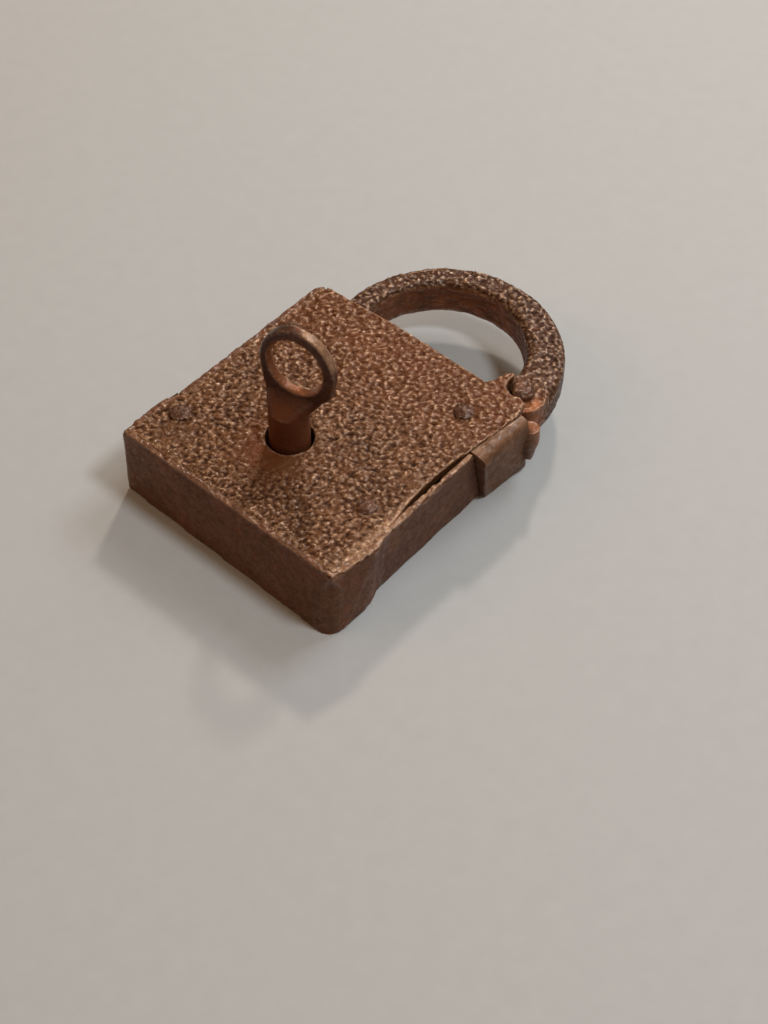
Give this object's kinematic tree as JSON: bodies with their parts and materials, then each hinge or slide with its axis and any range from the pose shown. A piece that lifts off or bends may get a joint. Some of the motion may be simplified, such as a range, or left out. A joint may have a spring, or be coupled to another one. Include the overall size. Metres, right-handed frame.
{
  "type": "padlock",
  "caption": "Old wrought-iron box padlock with a hinged round shackle, a sliding bolt inside and its thick-stemmed ring-bow key standing in the keyhole.",
  "frame": {"origin": "centre of the case's flat back face", "axes": "+Z out of the front plate through the keyhole, +Y towards the shackle, +X the lock's right side"},
  "size_m": [0.086, 0.1256, 0.0681],
  "materials": {
    "plate_iron": "pitted brown rust",
    "rim_iron": "smooth dark brown rust",
    "cheek_iron": "hammered brown rust",
    "rivet_iron": "hammered, rusted",
    "work_iron": "oiled dark iron with light rust",
    "spring_steel": "dark spring steel",
    "shackle_iron": "pitted brown rust, orange at the hinge",
    "key_iron": "smooth dark brown rust, edges worn bright"
  },
  "bodies": {
    "case": {"back_plate": "plate_iron", "front_plate": "plate_iron", "bottom_strap": "rim_iron", "left_wall": "rim_iron", "right_wall": "rim_iron", "top_wall": "rim_iron", "cheek_block": "cheek_iron", "case_rivets": "rivet_iron", "rivet_sleeves": "work_iron", "keyhole_guide": "work_iron", "cam_post": "work_iron", "bolt_stump": "work_iron", "nose_staple": "work_iron", "bolt_spring": "spring_steel", "spring_pin": "work_iron", "pivot_rivet": "rivet_iron", "pivot_washer": "rim_iron"},
    "cam": {"cam": "work_iron"},
    "key": {"key": "key_iron"},
    "bolt": {"bolt": "work_iron"},
    "shackle": {"shackle": "shackle_iron"}
  },
  "joints": [
    {"name": "key_turn", "type": "hinge", "parent": "case", "child": "cam", "pos_m": [-0.0037, -0.0108, 0], "axis": [0, 0, 1], "range_deg": [0, 60]},
    {"name": "key_lift", "type": "slide", "parent": "cam", "child": "key", "axis": [0, 0, 1], "range_m": [0, 0.022]},
    {"name": "bolt_throw", "type": "slide", "parent": "case", "child": "bolt", "axis": [-1, 0, 0], "range_m": [0, 0.008]},
    {"name": "shackle_swing", "type": "hinge", "parent": "case", "child": "shackle", "pos_m": [0.0331, 0.0482, 0], "axis": [0, 0, 1], "range_deg": [-70, 0]}
  ],
  "couplings": [
    {"joint": "bolt_throw", "follows": "key_turn", "m_per_rad": 0.0076394}
  ]
}
